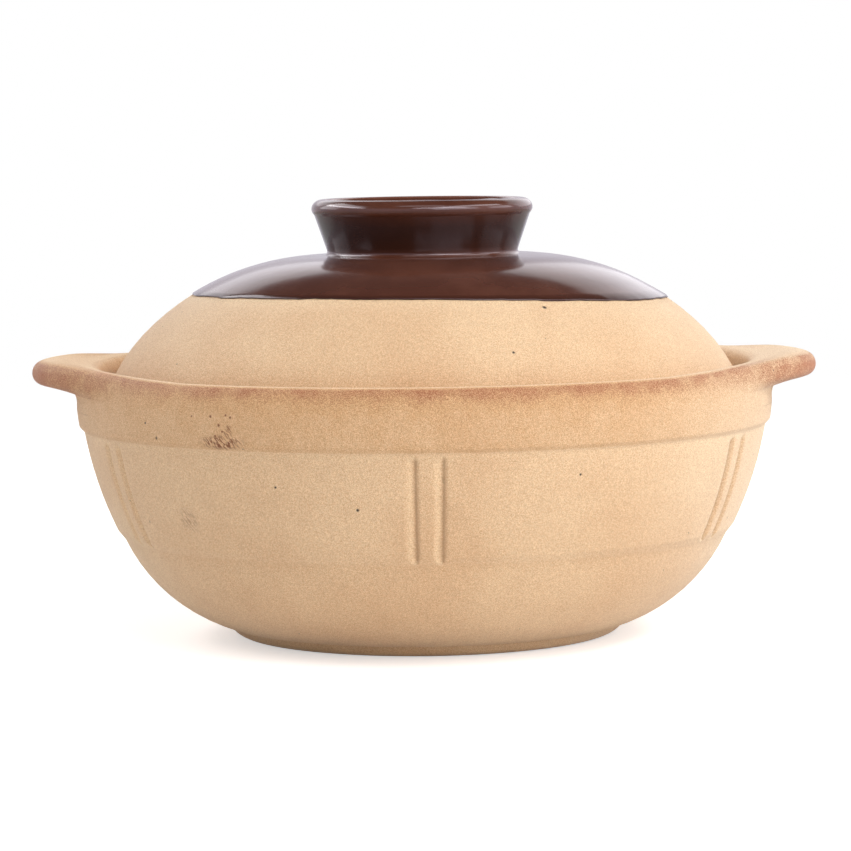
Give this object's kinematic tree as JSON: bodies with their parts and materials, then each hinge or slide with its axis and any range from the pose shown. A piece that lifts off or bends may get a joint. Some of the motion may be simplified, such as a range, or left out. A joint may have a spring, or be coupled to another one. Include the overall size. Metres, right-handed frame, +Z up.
{
  "type": "covered sand pot",
  "caption": "Round stepped clay cooking pot with flared ears, glazed inside, and a lift-off domed lid with a ring knob dipped in brown glaze.",
  "frame": {"origin": "middle of the foot's flat face, where the pot stands", "axes": "+X through the right ear, -Y the pot's front, +Z up"},
  "size_m": [0.2876, 0.2552, 0.1593],
  "materials": {
    "bare_clay": "unglazed, fine grained, matte",
    "brown_glaze": "glossy dark brown glaze"
  },
  "bodies": {
    "pot": {"pot_bowl": "bare_clay", "left_ear": "bare_clay", "right_ear": "bare_clay", "bowl_glaze": "brown_glaze"},
    "lid": {"lid_dome": "bare_clay", "lid_knob": "bare_clay", "lid_glaze": "brown_glaze"}
  },
  "joints": [
    {"name": "lid_lift", "type": "slide", "parent": "pot", "child": "lid", "axis": [0, 0, 1], "range_m": [0, 0.08]}
  ]
}
